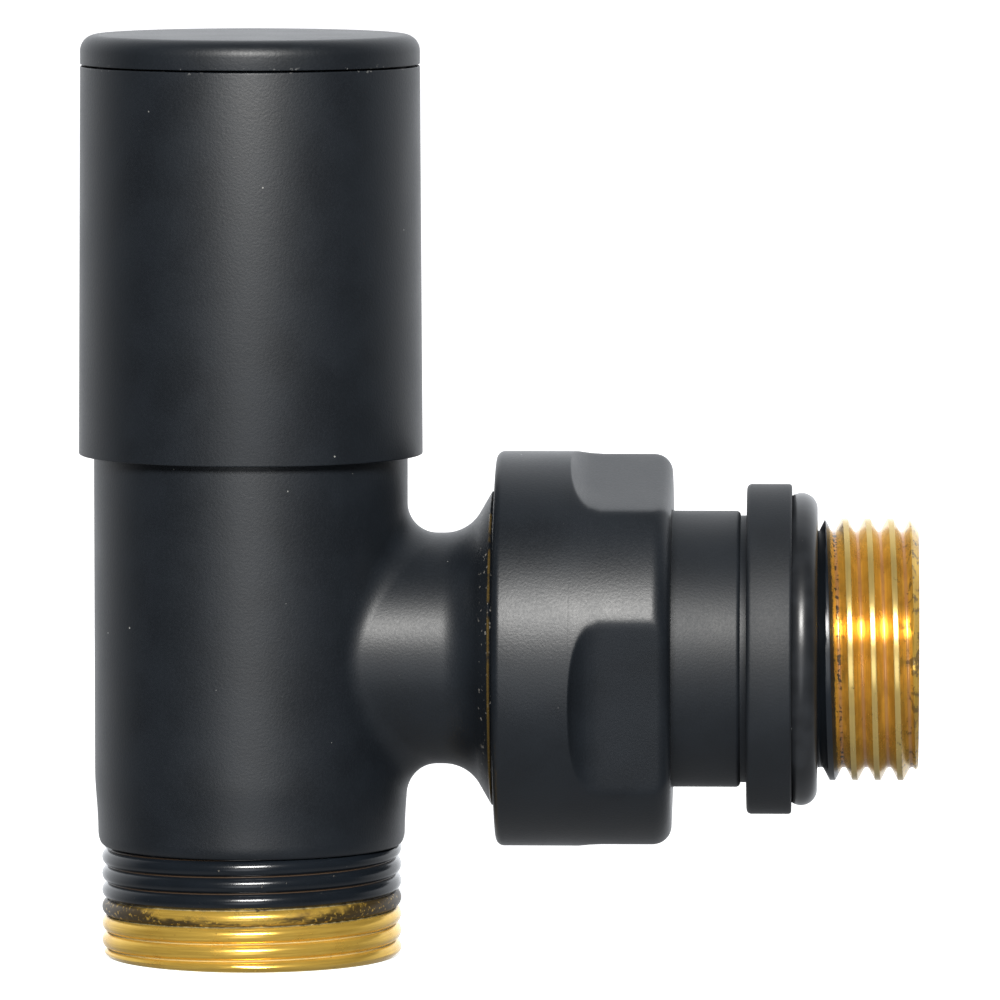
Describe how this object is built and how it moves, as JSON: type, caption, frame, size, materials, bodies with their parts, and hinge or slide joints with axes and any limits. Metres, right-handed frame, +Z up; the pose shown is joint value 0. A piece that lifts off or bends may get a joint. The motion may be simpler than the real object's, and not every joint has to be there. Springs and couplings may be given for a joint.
{
  "type": "angled manual radiator valve",
  "caption": "Angled manual radiator valve with a plain round handle, a union nut on the side branch and a self-sealing threaded tailpiece.",
  "frame": {"origin": "centre of the pipe thread's end face, at the bottom of the barrel", "axes": "+Z up the barrel to the handle, +X out of the branch towards the radiator"},
  "size_m": [0.0671, 0.0316, 0.0738],
  "materials": {
    "body_coating": "matt black powder coat over brass, worn back to bare brass on the lower pipe thread",
    "handle_coating": "matt black coat with a fine soft grain",
    "nut_coating": "matt black powder coat",
    "tail_brass": "turned brass, black coated except on the radiator thread",
    "brass": "turned brass",
    "rubber": "black nitrile rubber, satin",
    "fibre": "red-brown pressed fibre",
    "core_plastic": "dark grey moulded nylon",
    "steel": "zinc plated steel"
  },
  "bodies": {
    "body": {"valve_body": "body_coating", "headwork": "brass", "headwork_gasket": "fibre", "gland_seal": "rubber", "gland_washer": "steel", "gland_nut": "brass"},
    "shutter_unit": {"shutter": "brass", "shutter_clip": "steel", "shutter_gasket": "rubber", "shutter_screw": "brass"},
    "handle_unit": {"spindle": "brass", "spindle_seal": "rubber", "handle_core": "core_plastic", "handle_sleeve": "handle_coating", "handle_cap": "handle_coating", "handle_washer": "steel", "handle_screw": "steel"},
    "tail": {"tailpiece": "tail_brass", "tail_seal": "rubber", "radiator_seal": "rubber"},
    "nut": {"union_nut": "nut_coating"},
    "ring": {"backing_ring": "nut_coating"}
  },
  "joints": [
    {"name": "shutter_lift", "type": "slide", "parent": "body", "child": "shutter_unit", "axis": [0, 0, 1], "range_m": [0, 0.0045]},
    {"name": "handle_turn", "type": "hinge", "parent": "shutter_unit", "child": "handle_unit", "pos_m": [0, 0, 0.05], "axis": [0, 0, 1], "range_deg": [0, 1080]},
    {"name": "tail_withdraw", "type": "slide", "parent": "body", "child": "tail", "axis": [1, 0, 0], "range_m": [0, 0.00825]},
    {"name": "nut_turn", "type": "hinge", "parent": "tail", "child": "nut", "pos_m": [0.0267, 0, 0.02475], "axis": [1, 0, 0], "range_deg": [0, 1980]},
    {"name": "ring_slide", "type": "slide", "parent": "tail", "child": "ring", "axis": [1, 0, 0], "range_m": [-0.00045, 0]}
  ],
  "couplings": [
    {"joint": "shutter_lift", "follows": "handle_turn", "m_per_rad": 0.00023873},
    {"joint": "tail_withdraw", "follows": "nut_turn", "m_per_rad": 0.00023873}
  ]
}
